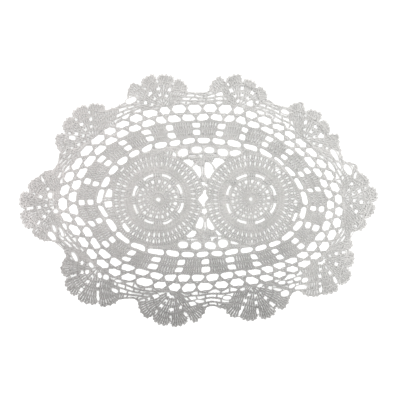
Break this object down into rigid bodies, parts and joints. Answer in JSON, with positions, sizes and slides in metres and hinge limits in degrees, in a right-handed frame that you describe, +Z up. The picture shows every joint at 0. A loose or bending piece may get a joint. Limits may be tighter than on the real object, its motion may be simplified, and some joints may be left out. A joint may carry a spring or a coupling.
{
  "type": "crochet lace mat",
  "caption": "Flat oval crochet lace mat with two round centres side by side, a ring of solid and open squares, honeycomb net and a scalloped edge.",
  "frame": {"origin": "middle of the mat's outline, on its underside", "axes": "+X along the mat's length, +Y across it, +Z up out of the cloth"},
  "size_m": [0.3988, 0.2828, 0.0024],
  "materials": {
    "cotton": "matt twisted cotton thread, pale grey"
  },
  "bodies": {
    "root": {"lace_mat": "cotton"}
  },
  "joints": []
}
